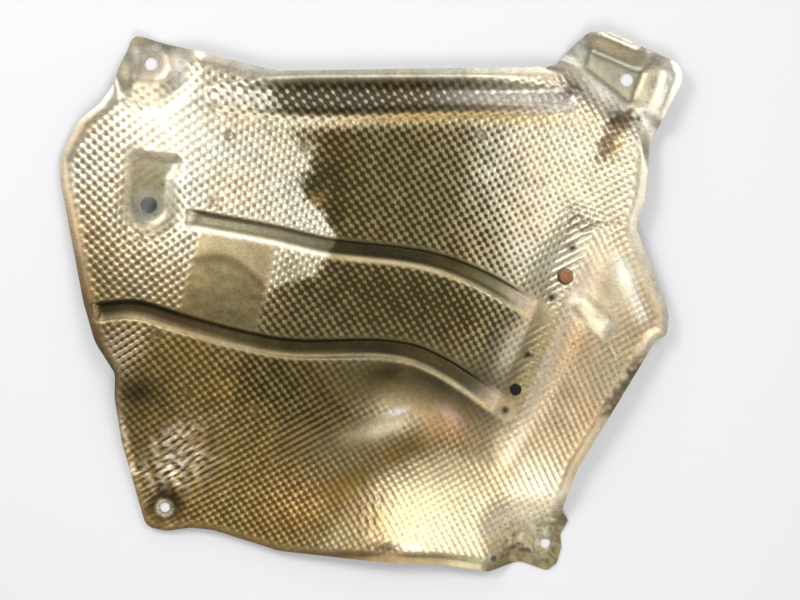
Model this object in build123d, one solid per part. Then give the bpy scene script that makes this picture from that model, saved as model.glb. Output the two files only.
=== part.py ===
"""Exhaust heat shield: one stamped sheet of embossed aluminium and the rivet in its diagonal strip.

The sheet is made as a press makes it. `form(rise)` is the solid of everything below the sheet, with its
skin lifted by `rise`; the form lifted by the gauge, less the form at rest, leaves the sheet between them.
Millimetres. X is the long way, Y runs up to the straight edge, Z away from the four corner seats at Z = 0.
"""
import math
import os

from build123d import *

os.makedirs("parts", exist_ok=True)

# Sheet
gauge = 1.0
flange_width = 6.0          # flat band along the trimmed edge
flange_step = 1.4           # the band stands this far above the field
press_floor = -30.0         # underside of the press forms, below every part of the sheet
press_top = 90.0
half_length = 204.0         # the forms reach past the trimmed edge on every side
half_width = 178.0
stations = 17               # sections of the field, and points along each of them

# Field: an arch with a dome below its middle, falling away to the lower left and past the strip
edge_height = 10.0
arch_rise = 21.0
arch_span = 210.0
arch_centre_y = -20.0
arch_length = 95.0
dome_rise = 11.0
dome_x, dome_y = 18.0, -62.0
dome_half_x, dome_half_y = 52.0, 40.0
flank_drop = 9.0            # lower left, below the lower bead
flank_x, flank_y = -35.0, -62.0
flank_blend_x, flank_blend_y = 22.0, 16.0
shoulder_x = -155.0         # crest beside the left edge
shoulder_slope = 0.15
shoulder_blend = 12.0
wing_drop = 6.0             # right of the strip, below its top
wing_top = 60.0
wing_blend = 16.0

# Trimmed edge, clockwise from the upper left tab: x, y, corner radius
edge_corners = [
    (-149.3, 167.9, 6), (-59.4, 144.8, 40), (114.2, 147.3, 14), (136.2, 168.9, 8), (150.0, 168.9, 4),
    (199.5, 146.8, 12), (175.0, 99.4, 30), (171.6, 64.3, 15), (165.9, 47.3, 9), (186.9, -6.6, 10),
    (185.7, -21.0, 5), (178.5, -23.5, 4), (129.6, -103.7, 20), (120.2, -130.6, 4), (124.9, -137.9, 1.5),
    (119.9, -146.9, 4), (120.8, -154.5, 5), (117.7, -165.1, 4), (111.7, -169.5, 4), (94.2, -163.5, 8),
    (74.1, -169.0, 4), (44.0, -163.9, 30), (15.8, -163.2, 40), (-57.5, -156.0, 30), (-98.8, -143.2, 25),
    (-112.6, -141.6, 25), (-128.3, -143.8, 12), (-141.5, -141.3, 8), (-155.9, -88.0, 60),
    (-159.6, -59.8, 30), (-158.7, -44.2, 9), (-171.5, -24.7, 25), (-179.1, 0.3, 60), (-194.7, 75.5, 60),
    (-195.4, 90.6, 15), (-182.8, 114.4, 20), (-169.0, 125.0, 12), (-161.2, 135.7, 20),
]

# Channel behind the straight edge
channel_length, channel_width = 226.0, 11.0
channel_x, channel_y = 14.0, 128.0
channel_height = 3.5
channel_draft = 38.0

# Beads: round-bottomed grooves that run out into the strip
bead_radius = 6.0
bead_depth = 3.2
upper_bead = [(-107, 51), (-62, 42.5), (-25, 34), (18, 29.2), (43, 24.2), (71, 13.2), (106, -7)]
lower_bead = [(-161, -5.8), (-146, -4.6), (-119, -12), (-80, -22.4), (-45, -28.2), (11, -28.2), (43, -38),
              (84, -66)]

# Strip: a flat-floored groove across the right flank
strip_top = (133.6, 50.0, 14.0)
strip_foot = (72.4, -98.7, 19.0)
strip_width = 15.5
strip_roll = 8.0            # degrees, floor turned towards the wing
strip_draft = 45.0

# Seats and fixing holes
seat_draft = 32.0
seat_corner = 4.0
left_seat = (-139.0, 151.0)
left_seat_length, left_seat_width = 24.0, 23.0
left_hole = 8.5
tray_corners = [(137.7, 161.8), (173.1, 146.6), (166.0, 123.0), (134.5, 148.2)]
tray_draft = 34.0
tray_hole_x, tray_hole_y = 162.0, 140.9
tray_hole = 8.5
key_seat = (-138.3, 60.7)
key_seat_radius = 11.5
key_seat_depth = 4.0
key_block = [(-148.9, 93.4), (-117.8, 89.4), (-125.9, 76.9), (-127.1, 60.7), (-149.8, 60.7)]
key_hole = 10.5
dimple = (-130.2, -129.6)
dimple_floor = 5.5
dimple_draft = 52.0
dimple_hole = 6.5
corner_seat = [(88.0, -143.0), (130.0, -139.0), (130.0, -176.0), (88.0, -176.0)]
corner_hole_x, corner_hole_y = 110.4, -152.4
corner_hole = 6.5
strip_hole_along, strip_hole_across = 32.4, -0.5
strip_hole = 7.5
small_hole = 4.0
small_holes = [(77.3, -161.0), (-132.3, -114.7)]

# Swelling pressed into the wing
swell_ends = [(134.0, 0.5), (146.0, -14.0)]
swell_radius = 9.0
swell_height = 2.4

# Rivet
shank = 4.8
shank_clearance = 0.1
head = 10.3
head_height = 1.1
button = 6.5
button_height = 1.7
tail = 7.2
tail_height = 3.4
rivet_along, rivet_across = -44.6, 1.5


def blend(distance, width):
    """Goes from 0 to 1 as distance passes zero, most of it within two widths on either side."""
    return 1 / (1 + math.exp(-distance / width))


def past_strip(x, y):
    """Distance from the strip's middle line towards the wing."""
    run_x = strip_foot[0] - strip_top[0]
    run_y = strip_foot[1] - strip_top[1]
    return (run_x * (y - strip_top[1]) - run_y * (x - strip_top[0])) / math.hypot(run_x, run_y)


def field(x, y):
    """Height of the sheet's underside before beads and seats.

    The edge height, plus an arch (a parabola in x times a bell in y), plus a bell for the dome, less a
    blended step for the lower left flank, a slope outside the left crest and a blended step to the wing.
    """
    height = edge_height
    height += arch_rise * (1 - (x / arch_span) ** 2) * math.exp(-((y - arch_centre_y) / arch_length) ** 2)
    height += dome_rise * math.exp(-((x - dome_x) / dome_half_x) ** 2 - ((y - dome_y) / dome_half_y) ** 2)
    height -= flank_drop * blend(flank_x - x, flank_blend_x) * blend(flank_y - y, flank_blend_y)
    height -= shoulder_slope * shoulder_blend * math.log(1 + math.exp((shoulder_x - x) / shoulder_blend))
    height -= wing_drop * blend(past_strip(x, y), wing_blend) * blend(wing_top - y, wing_blend)
    return height


def spread(half, count):
    """Evenly spaced places from -half to half."""
    return [half * (2 * step / (count - 1) - 1) for step in range(count)]


def trimmed_edge():
    """The sheet's outline: a polygon with each corner rounded by its own radius."""
    face = make_face(Polyline([(x, y) for x, y, radius in edge_corners], close=True))
    for x, y, radius in edge_corners:
        corner = min(face.vertices(), key=lambda vertex: math.hypot(vertex.X - x, vertex.Y - y))
        face = fillet(corner, radius)
    return face


def column(face):
    """A flat outline run through the full height of the press."""
    return extrude(Pos(0, 0, press_floor - 1) * face, press_top - press_floor + 2)


def block(lift):
    """The solid under the field, lofted through splines that cross it at even stations."""
    sections = []
    for y in spread(half_width, stations):
        skin = [(x, y, field(x, y) + lift) for x in spread(half_length, stations)]
        sides = [skin[-1], (half_length, y, press_floor), (-half_length, y, press_floor), skin[0]]
        top = Edge.make_spline(skin, parameters=spread(1, stations))
        sections.append(make_face([top, Polyline(*sides)]))
    return loft(sections)


def pocket(floor, plane, draft, rise):
    """A recess with a flat floor and drafted walls, as thick across the walls as across the floor."""
    slope = math.radians(draft)
    growth = (gauge - rise) * (1 - math.sin(slope)) / math.cos(slope)
    outline = offset(floor, growth) if growth > 0 else floor
    return extrude(plane.offset(rise) * outline, press_top / 3, taper=-draft)


def bead(points, rise):
    """A round groove along a spline laid on the field, closed by a ball at its first end."""
    lift = gauge + bead_radius - bead_depth
    route = Spline(*[(x, y, field(x, y) + lift) for x, y in points])
    radius = bead_radius + gauge - rise
    section = Plane(origin=route @ 0, z_dir=route % 0) * Circle(radius)
    return sweep(section, path=route) + Pos(*(route @ 0)) * Sphere(radius)


def swelling(rise):
    """A capsule that stands out of the wing."""
    (x_1, y_1), (x_2, y_2) = swell_ends
    radius = swell_radius - gauge + rise
    sink = gauge + swell_height - swell_radius
    route = Line((x_1, y_1, field(x_1, y_1) + sink), (x_2, y_2, field(x_2, y_2) + sink))
    section = Plane(origin=route @ 0, z_dir=route % 0) * Circle(radius)
    balls = Pos(*(route @ 0)) * Sphere(radius) + Pos(*(route @ 1)) * Sphere(radius)
    return sweep(section, path=route) + balls


def strip_plane():
    """Floor of the strip: x along it to the foot, y towards the wing, origin half-way."""
    top, foot = Vector(*strip_top), Vector(*strip_foot)
    along = (foot - top).normalized()
    upright = Vector(0, 0, 1)
    normal = (upright - along * upright.dot(along)).normalized()
    aside = normal.cross(along)
    roll = math.radians(strip_roll)
    return Plane((top + foot) * 0.5, x_dir=along, z_dir=normal * math.cos(roll) + aside * math.sin(roll))


def form(rise, outline, strip):
    """Everything below the sheet, its skin lifted by rise."""
    inside = column(offset(outline, -(flange_width + rise)))
    field_block = block(rise) + swelling(rise)
    ground = Plane.XY
    strip_length = (Vector(*strip_foot) - Vector(*strip_top)).length
    left_floor = Pos(*left_seat) * RectangleRounded(left_seat_length, left_seat_width, seat_corner)
    tray_floor = fillet(make_face(Polyline(tray_corners, close=True)).vertices(), seat_corner)
    key_floor = make_face(Polyline(key_block, close=True)) + Pos(*key_seat) * Circle(key_seat_radius)
    key_level = Plane((0, 0, field(*key_seat) - key_seat_depth))
    channel_floor = Pos(channel_x, channel_y) * RectangleRounded(channel_length, channel_width, seat_corner)
    corner_floor = fillet(make_face(Polyline(corner_seat, close=True)).vertices(), seat_corner)
    recesses = [
        pocket(left_floor, ground, seat_draft, rise),
        pocket(tray_floor, ground, tray_draft, rise),
        pocket(corner_floor, ground, strip_draft, rise),
        pocket(Pos(*dimple) * Circle(dimple_floor), ground, dimple_draft, rise),
        pocket(key_floor, key_level, seat_draft, rise),
        pocket(channel_floor, Plane((0, 0, channel_height)), channel_draft, rise),
        pocket(RectangleRounded(strip_length, strip_width, seat_corner), strip, strip_draft, rise),
        bead(upper_bead, rise),
        bead(lower_bead, rise),
    ]
    return block(rise + flange_step) - (inside - field_block) - recesses


def through(diameter, place):
    """A drill for a hole square to the floor that it is placed on."""
    return place * Cylinder(diameter / 2, 8 * gauge)


def shield_panel():
    """The stamped sheet, trimmed and pierced."""
    outline = trimmed_edge()
    strip = strip_plane()
    sheet = (form(gauge, outline, strip) - form(0, outline, strip)) & column(outline)
    drills = [
        through(left_hole, Pos(*left_seat)),
        through(tray_hole, Pos(tray_hole_x, tray_hole_y)),
        through(corner_hole, Pos(corner_hole_x, corner_hole_y)),
        through(dimple_hole, Pos(*dimple)),
        through(key_hole, Pos(*key_seat, field(*key_seat) - key_seat_depth)),
        through(strip_hole, strip.location * Pos(strip_hole_along, strip_hole_across)),
        through(shank + 2 * shank_clearance, strip.location * Pos(rivet_along, rivet_across)),
    ]
    drills += [Pos(x, y) * Cylinder(small_hole / 2, 2 * press_top) for x, y in small_holes]
    return sheet - drills


def rivet():
    """A turned rivet, set in the strip: button, head on the front, shank, tail drawn up behind."""
    front = gauge
    half = Polyline(
        (0, front + button_height),
        (button / 2 - 0.6, front + button_height),
        (button / 2, front + head_height),
        (head / 2 - 0.5, front + head_height * 0.55),
        (head / 2, front),
        (shank / 2, front),
        (shank / 2, 0),
        (tail / 2, 0),
        (tail / 2, -tail_height * 0.6),
        (tail / 4, -tail_height),
        (0, -tail_height),
        close=True,
    )
    turned = revolve(Plane.XZ * make_face(half), Axis.Z)
    return strip_plane().location * Pos(rivet_along, rivet_across) * turned


export_step(shield_panel(), "parts/shield_panel.step")
export_step(rivet(), "parts/rivet.step")
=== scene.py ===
"""Exhaust heat shield: one stamped sheet of embossed aluminium, heat-stained, with a rivet in its strip.

The sheet's sizes are in millimetres, as on its drawing, and a mesh is scaled to metres when it is made.
X runs the long way, Y up to the straight edge, and Z away from the four corner seats at Z = 0.
"""

import bpy
import numpy as np
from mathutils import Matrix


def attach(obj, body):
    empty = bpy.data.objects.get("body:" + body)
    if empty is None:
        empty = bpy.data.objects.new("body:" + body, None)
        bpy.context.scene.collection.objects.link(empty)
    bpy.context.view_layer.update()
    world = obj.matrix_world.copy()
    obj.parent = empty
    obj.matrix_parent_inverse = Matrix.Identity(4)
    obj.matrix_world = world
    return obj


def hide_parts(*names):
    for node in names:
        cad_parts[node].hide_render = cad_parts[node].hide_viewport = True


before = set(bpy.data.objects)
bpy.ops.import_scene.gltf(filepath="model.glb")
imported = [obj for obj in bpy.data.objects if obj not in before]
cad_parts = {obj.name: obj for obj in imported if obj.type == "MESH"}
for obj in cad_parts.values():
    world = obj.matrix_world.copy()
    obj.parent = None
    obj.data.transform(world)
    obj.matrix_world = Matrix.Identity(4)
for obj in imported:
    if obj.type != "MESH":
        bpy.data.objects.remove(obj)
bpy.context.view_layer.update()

# Blank: aluminium sheet 1 mm thick, cut to an irregular outline and pierced by the trimming die.
# Each corner of the outline has its own radius, and every hole is round.
gauge = 1.0
edge_corners = np.array([
    (-149.3, 167.9, 6), (-59.4, 144.8, 40), (114.2, 147.3, 14), (136.2, 168.9, 8), (150.0, 168.9, 4),
    (199.5, 146.8, 12), (175.0, 99.4, 30), (171.6, 64.3, 15), (165.9, 47.3, 9), (186.9, -6.6, 10),
    (185.7, -21.0, 5), (178.5, -23.5, 4), (129.6, -103.7, 20), (120.2, -130.6, 4), (124.9, -137.9, 1.5),
    (119.9, -146.9, 4), (120.8, -154.5, 5), (117.7, -165.1, 4), (111.7, -169.5, 4), (94.2, -163.5, 8),
    (74.1, -169.0, 4), (44.0, -163.9, 30), (15.8, -163.2, 40), (-57.5, -156.0, 30), (-98.8, -143.2, 25),
    (-112.6, -141.6, 25), (-128.3, -143.8, 12), (-141.5, -141.3, 8), (-155.9, -88.0, 60),
    (-159.6, -59.8, 30), (-158.7, -44.2, 9), (-171.5, -24.7, 25), (-179.1, 0.3, 60), (-194.7, 75.5, 60),
    (-195.4, 90.6, 15), (-182.8, 114.4, 20), (-169.0, 125.0, 12), (-161.2, 135.7, 20),
])
left_hole = (-139.0, 151.0, 4.25)
tray_hole = (162.0, 140.9, 4.25)
key_hole = (-138.3, 60.7, 5.25)
dimple_hole = (-130.2, -129.6, 3.25)
corner_hole = (110.4, -152.4, 3.25)
strip_hole = (90.3, -54.1, 3.75)
foot_hole = (77.3, -161.0, 2.0)
flank_hole = (-132.3, -114.7, 2.0)
holes = [left_hole, tray_hole, key_hole, dimple_hole, corner_hole, strip_hole, foot_hole, flank_hole]


def rounded_outline(corners, steps=9):
    """Points round a closed polygon whose corners are arcs.

    With half the angle between a corner's sides called t, its arc of radius r starts r / tan t along each
    side, about a middle that lies r / sin t along the bisector.
    """
    here = corners[:, :2]
    radius = corners[:, 2]
    back = np.roll(here, 1, axis=0) - here
    ahead = np.roll(here, -1, axis=0) - here
    back /= np.linalg.norm(back, axis=1, keepdims=True)
    ahead /= np.linalg.norm(ahead, axis=1, keepdims=True)
    half = 0.5 * np.arccos(np.clip(np.sum(back * ahead, axis=1), -1, 1))
    bisector = back + ahead
    bisector /= np.linalg.norm(bisector, axis=1, keepdims=True)
    middle = here + bisector * (radius / np.sin(half))[:, None]
    first = here + back * (radius / np.tan(half))[:, None] - middle
    last = here + ahead * (radius / np.tan(half))[:, None] - middle
    start = np.arctan2(first[:, 1], first[:, 0])
    turn = np.arctan2(last[:, 1], last[:, 0]) - start
    turn = (turn + np.pi) % (2 * np.pi) - np.pi
    angle = start[:, None] + turn[:, None] * np.linspace(0, 1, steps)
    ring = np.stack([np.cos(angle), np.sin(angle)], axis=-1)
    return (middle[:, None, :] + radius[:, None, None] * ring).reshape(-1, 2)


def nearest(x, y, line, closed=True):
    """Foot of each place on a line, how far along it the foot lies, and the distance to it.

    Every segment offers the place's foot on it, held to its ends, and the nearest is kept. The distance is
    positive on the right of the line, which is the inside of an outline that runs clockwise.
    """
    best = np.full(x.shape, np.inf)
    foot_x, foot_y, along, side = (np.zeros(x.shape) for _ in range(4))
    travelled = 0.0
    ends = np.roll(line, -1, axis=0) if closed else line[1:]
    for (x_1, y_1), (x_2, y_2) in zip(line, ends):
        run_x, run_y = x_2 - x_1, y_2 - y_1
        length = max(np.hypot(run_x, run_y), 1e-9)
        share = np.clip(((x - x_1) * run_x + (y - y_1) * run_y) / length ** 2, 0, 1)
        gap_x, gap_y = x - x_1 - share * run_x, y - y_1 - share * run_y
        gap = np.hypot(gap_x, gap_y)
        closer = gap < best - 1e-9
        best = np.where(closer, gap, best)
        foot_x = np.where(closer, x_1 + share * run_x, foot_x)
        foot_y = np.where(closer, y_1 + share * run_y, foot_y)
        along = np.where(closer, travelled + share * length, along)
        side = np.where(closer, run_y * (x - x_1) - run_x * (y - y_1), side)
        travelled += length
    return foot_x, foot_y, along, np.where(side >= 0, best, -best)


def inside_of(x, y, line):
    """True where a ray along X crosses a closed line an odd number of times."""
    odd = np.zeros(x.shape, bool)
    for (x_1, y_1), (x_2, y_2) in zip(line, np.roll(line, -1, axis=0)):
        spans = (y_1 > y) != (y_2 > y)
        rise = y_2 - y_1 if y_2 != y_1 else 1e-9
        odd ^= spans & (x < x_1 + (x_2 - x_1) * (y - y_1) / rise)
    return odd


def gap_inside(x, y, line):
    """Distance to a closed line, positive inside it."""
    distance = np.abs(nearest(x, y, line)[3])
    return np.where(inside_of(x, y, line), distance, -distance)


# Embossing: the rolls press a square pattern of small pits into the blank, turned by about a third of a
# right angle. The press then draws the rows closer towards the bottom and turns them a little to the right.
# The mesh follows the rows, four steps to a pit.
pit_a = (2.22, -3.45)
pit_b = (3.57, 2.11)
steps_per_pit = 4
rows_a, rows_b = 70, 74
blank_half_x, blank_half_y, rim_clearance = 198, 172, 0.3
drawn_half_x, drawn_half_y = 205, 180
drawn_down, drawn_left, rows_lean, rows_turn, rows_close = 1.2e-4, 6e-7, 1.0e-4, 1.5e-4, 1.0e-4

outline = rounded_outline(edge_corners)
row = np.arange(-rows_a * steps_per_pit, rows_a * steps_per_pit + 1) / steps_per_pit
column = np.arange(-rows_b * steps_per_pit, rows_b * steps_per_pit + 1) / steps_per_pit
pit_u, pit_v = np.meshgrid(row, column, indexing="ij")
x = pit_u * pit_a[0] + pit_v * pit_b[0]
y = pit_u * pit_a[1] + pit_v * pit_b[1]
flat_x, flat_y = x.copy(), y.copy()
for _ in range(12):
    near_x = np.clip(x, -drawn_half_x, drawn_half_x)
    near_y = np.clip(y, -drawn_half_y, drawn_half_y)
    extra_u = drawn_down * near_y ** 2 - drawn_left * near_x * near_y ** 2 - rows_lean * near_x * near_y
    extra_v = rows_close * near_x ** 2 - rows_turn * near_x * near_y
    x = flat_x - extra_u * pit_a[0] - extra_v * pit_b[0]
    y = flat_y - extra_u * pit_a[1] - extra_v * pit_b[1]

near_blank = (np.abs(x) < blank_half_x) & (np.abs(y) < blank_half_y)
inner_gap = np.full(x.shape, -9.0)
inner_gap[near_blank] = gap_inside(x[near_blank], y[near_blank], outline)
for hole_x, hole_y, hole_radius in holes:
    inner_gap = np.minimum(inner_gap, np.hypot(x - hole_x, y - hole_y) - hole_radius)
kept = inner_gap > rim_clearance
cell = kept[:-1, :-1] & kept[1:, :-1] & kept[1:, 1:] & kept[:-1, 1:]
number = np.arange(x.size).reshape(x.shape)
quads = np.stack([number[:-1, :-1], number[1:, :-1], number[1:, 1:], number[:-1, 1:]], axis=-1)[cell]
used, quads = np.unique(quads, return_inverse=True)
quads = quads.reshape(-1, 4)
x, y, pit_u, pit_v = (values.ravel()[used] for values in (x, y, pit_u, pit_v))

sides = np.concatenate([quads[:, [0, 1]], quads[:, [1, 2]], quads[:, [2, 3]], quads[:, [3, 0]]])
ordered = np.sort(sides, axis=1)
edges, first_use, uses = np.unique(ordered, axis=0, return_index=True, return_counts=True)
rim = sides[first_use[uses == 1]]
on_rim = np.unique(rim)


def to_the_die(x, y):
    """Moves places on the rim of the mesh to the trimmed edge, or to the hole that is nearer."""
    foot_x, foot_y, _, gap = nearest(x, y, outline)
    gap = np.abs(gap)
    for hole_x, hole_y, hole_radius in holes:
        reach = np.hypot(x - hole_x, y - hole_y)
        nearer = np.abs(reach - hole_radius) < gap
        gap = np.where(nearer, np.abs(reach - hole_radius), gap)
        foot_x = np.where(nearer, hole_x + (x - hole_x) * hole_radius / reach, foot_x)
        foot_y = np.where(nearer, hole_y + (y - hole_y) * hole_radius / reach, foot_y)
    return foot_x, foot_y


def mean_of_neighbours(values, links, count):
    """Average of each place's linked neighbours."""
    total = np.bincount(links[:, 0], values[links[:, 1]], count)
    total += np.bincount(links[:, 1], values[links[:, 0]], count)
    share = np.bincount(links[:, 0], minlength=count) + np.bincount(links[:, 1], minlength=count)
    return total / np.maximum(share, 1)


x[on_rim], y[on_rim] = to_the_die(x[on_rim], y[on_rim])
beside_rim = np.zeros(x.size, bool)
beside_rim[on_rim] = True
for _ in range(2):
    beside_rim[edges[np.any(beside_rim[edges], axis=1)]] = True
beside_rim[on_rim] = False
for _ in range(4):
    eased_x = mean_of_neighbours(x, rim, x.size)
    eased_y = mean_of_neighbours(y, rim, x.size)
    x[on_rim], y[on_rim] = to_the_die(0.5 * (x + eased_x)[on_rim], 0.5 * (y + eased_y)[on_rim])
    x[beside_rim] = mean_of_neighbours(x, edges, x.size)[beside_rim]
    y[beside_rim] = mean_of_neighbours(y, edges, x.size)[beside_rim]
edge_gap = gap_inside(x, y, outline)

# Pressed field: the press draws the sheet into a long arch with a dome below its middle, and lets it fall
# away to the lower left and past the strip. A narrow band along the trimmed edge stays flat and raised.
edge_height = 10.0
arch_rise, arch_span, arch_centre_y, arch_length = 21.0, 210.0, -20.0, 95.0
dome_rise, dome_x, dome_y, dome_half_x, dome_half_y = 11.0, 18.0, -62.0, 52.0, 40.0
flank_drop, flank_x, flank_y, flank_blend_x, flank_blend_y = 9.0, -35.0, -62.0, 22.0, 16.0
shoulder_x, shoulder_slope, shoulder_blend = -155.0, 0.15, 12.0
wing_drop, wing_top, wing_blend = 6.0, 60.0, 16.0
strip_top = np.array([133.6, 50.0, 14.0])
strip_foot = np.array([72.4, -98.7, 19.0])
flange_width, flange_step = 6.0, 1.1


def blend(distance, width):
    """Goes from 0 to 1 as distance passes zero, most of it within two widths on either side."""
    return 1 / (1 + np.exp(-np.clip(distance / width, -60, 60)))


def bell(distance, width):
    """Falls from 1 at zero towards 0 beyond two widths: e to minus the square of distance over width."""
    return np.exp(-(distance / width) ** 2)


def spot(centre, size, turn=0.0):
    """A soft oval patch on the sheet: a bell of the distance from its centre in its own half-sizes."""
    angle = np.radians(turn)
    along = (x - centre[0]) * np.cos(angle) + (y - centre[1]) * np.sin(angle)
    across = (y - centre[1]) * np.cos(angle) - (x - centre[0]) * np.sin(angle)
    return np.exp(-(along / size[0]) ** 2 - (across / size[1]) ** 2)


def mottle(grain, seed, stretch=1.0, turn=0.0):
    """Smooth random mottling, mostly between -1 and 1: sine waves with seeded directions and phases.

    It is drawn out by the stretch along a line at the turn's angle to X.
    """
    random = np.random.default_rng(seed)
    angle = np.radians(turn)
    along = (x * np.cos(angle) + y * np.sin(angle)) / stretch
    across = y * np.cos(angle) - x * np.sin(angle)
    total = np.zeros(x.size)
    for _ in range(16):
        way = random.uniform(0, 2 * np.pi)
        length = grain * random.uniform(0.7, 1.6)
        phase = random.uniform(0, 6.3)
        total += np.sin(2 * np.pi * (along * np.cos(way) + across * np.sin(way)) / length + phase)
    return total / 4


run = (strip_foot - strip_top)[:2] / np.linalg.norm((strip_foot - strip_top)[:2])
past_strip = run[0] * (y - strip_top[1]) - run[1] * (x - strip_top[0])
height = edge_height + gauge
height = height + arch_rise * (1 - (x / arch_span) ** 2) * bell(y - arch_centre_y, arch_length)
height += dome_rise * spot((dome_x, dome_y), (dome_half_x, dome_half_y))
height -= flank_drop * blend(flank_x - x, flank_blend_x) * blend(flank_y - y, flank_blend_y)
height -= shoulder_slope * shoulder_blend * np.logaddexp(0, (shoulder_x - x) / shoulder_blend)
height -= wing_drop * blend(past_strip, wing_blend) * blend(wing_top - y, wing_blend)
flange_reach = flange_width - 4.0 * blend(-30 - y, 8) * blend(-8 - x, 12)
flange = blend(flange_reach - edge_gap, 0.9)
height += flange_step * flange

# Finish of the sheet before it is worked: bare aluminium, embossed up to the flange. Every form that follows
# takes its share of the embossing away, because the press irons it out there.
embossed = blend(edge_gap - 1.1 * flange_reach - 0.8, 0.7)
clean_metal = np.array([0.64, 0.555, 0.37])
flange_metal = np.array([0.49, 0.45, 0.335])
tint = np.tile(clean_metal, (x.size, 1))
roughness = np.full(x.size, 0.3)


def lay(layer, colour, amount):
    """Lays a colour over a layer of stains and painted light in place, as thick as the amount says from 0 to
    1.
    """
    layer += (np.asarray(colour) - layer) * np.clip(amount, 0, 1)[:, None]


def soft_lower(first, second, reach):
    """The lower of two heights, with a fillet where they come within reach of each other.

    From the lower one it takes a quarter of the reach times the square of the gap's share that is missing.
    """
    short = np.maximum(reach - np.abs(first - second), 0) / reach
    return np.minimum(first, second) - reach / 4 * short ** 2


def pocket(gap, floor, draft, soft=1.2):
    """Height of a recess: its floor, and beyond its outline a wall that rises at the draft angle.

    The gap is the distance outside the outline; the wall starts on a soft ramp instead of a corner.
    """
    return floor + soft * np.logaddexp(0, gap / soft) / np.tan(np.radians(draft))


def rounded_box(across_x, across_y, length, width, corner):
    """Distance outside a rectangle with round corners, negative within it."""
    over_x = np.abs(across_x) - length / 2 + corner
    over_y = np.abs(across_y) - width / 2 + corner
    outside = np.hypot(np.maximum(over_x, 0), np.maximum(over_y, 0))
    return outside + np.minimum(np.maximum(over_x, over_y), 0) - corner


# Channel: a straight trough pressed in behind the upper edge to stiffen it. Its floor keeps the pattern,
# its lower bend is heat-tinted gold with a painted highlight, and its right end carries a painted grey sheen.
channel_length, channel_width, channel_x, channel_y = 226.0, 11.0, 14.0, 128.0
channel_height, channel_draft, channel_ramp, channel_corner = 3.5, 38.0, 64.0, 4.0
channel_bow = 2.4 * bell(x - 58, 55)
bowed_y = y - channel_y - channel_bow * blend(channel_y - y, 2)
channel_gap = rounded_box(x - channel_x, bowed_y, channel_length, channel_width, channel_corner)
to_end = np.clip((np.abs(x - channel_x) - channel_length / 2 + channel_ramp) / channel_ramp, 0, None)
channel_floor = channel_height + gauge + 5.5 * to_end ** 1.4
height = soft_lower(height, pocket(channel_gap, channel_floor, channel_draft), 4.0)
lit_gold_bend = bell(x - channel_x, 150) * bell(y - 113 - 1.6 * channel_bow, 4.8)
channel_right_sheen = blend(3.0 - channel_gap, 1.2) * blend(x - 50, 9)
embossed *= (1 - 0.55 * channel_right_sheen) * (1 - 0.15 * lit_gold_bend)

# Beads: two S-shaped grooves with flat floors that run from the left into the strip and stiffen the arch.
# The punch has ironed the pattern out of them.
bead_half, bead_wall, bead_depth = 6.2, 2.6, 2.5
upper_bead = np.array([(-116, 52.6), (-62, 42.5), (-25, 34), (18, 29.2), (43, 24.2), (71, 13.2), (106, -7)])
lower_bead = np.array([
    (-176, -7.0), (-146, -4.6), (-119, -12), (-80, -22.4), (-45, -28.2), (11, -28.2), (43, -38), (84, -66),
])


def smooth_line(points, steps=8):
    """A curve through the points: each span is a cubic whose end slopes come from the neighbours."""
    ends = np.concatenate([2 * points[:1] - points[1:2], points, 2 * points[-1:] - points[-2:-1]])
    before, here, there, after = ends[:-3, None], ends[1:-2, None], ends[2:-1, None], ends[3:, None]
    share = np.linspace(0, 1, steps, endpoint=False)[None, :, None]
    curve = here + 0.5 * share * (there - before)
    curve += share ** 2 * (before - 2.5 * here + 2 * there - 0.5 * after)
    curve += share ** 3 * (1.5 * (here - there) + 0.5 * (after - before))
    return np.concatenate([curve.reshape(-1, 2), points[-1:]])


bead_wall_shade = np.zeros(x.size)
lit_bead_lip = np.zeros(x.size)
bead_bottom = np.zeros(x.size)
bead_foot = np.zeros(x.size)
for bead_points, bead_fade in ((upper_bead, 4.0), (lower_bead, 2.0)):
    bead_curve = smooth_line(bead_points)
    _, _, along, offset = nearest(x, y, bead_curve, closed=False)
    bead_length = np.sum(np.hypot(*np.diff(bead_curve, axis=0).T))
    fade = blend(along - bead_fade, 2.0) * blend(bead_length - 3.0 - along, 1.5)
    drop = np.clip((offset + bead_half) / bead_wall, 0, 1)
    drop = drop * drop * (3 - 2 * drop)
    rise = np.clip(offset / bead_half, 0, 1)
    height -= bead_depth * drop * (1 - rise ** 2.0) * fade * (1 - flange)
    in_bead = blend(bead_half + 0.8 - np.abs(offset), 0.5)
    embossed *= 1 - in_bead * blend(along - 1.0, 1.5)
    # The line under the steep wall is painted shade, and the lip opposite is a painted highlight.
    line = bell(offset + bead_half - 0.7, 0.9) * fade
    lit_lip = bell(offset - bead_half + 0.8, 1.5) * fade
    bead_wall_shade = np.maximum(bead_wall_shade, line)
    lit_bead_lip = np.maximum(lit_bead_lip, lit_lip)
    bead_bottom = np.maximum(bead_bottom, blend(bead_half - np.abs(offset), 0.6) * fade)
    bead_foot = np.maximum(bead_foot, in_bead * blend(along - bead_length + 17.0, 4.0))

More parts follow.
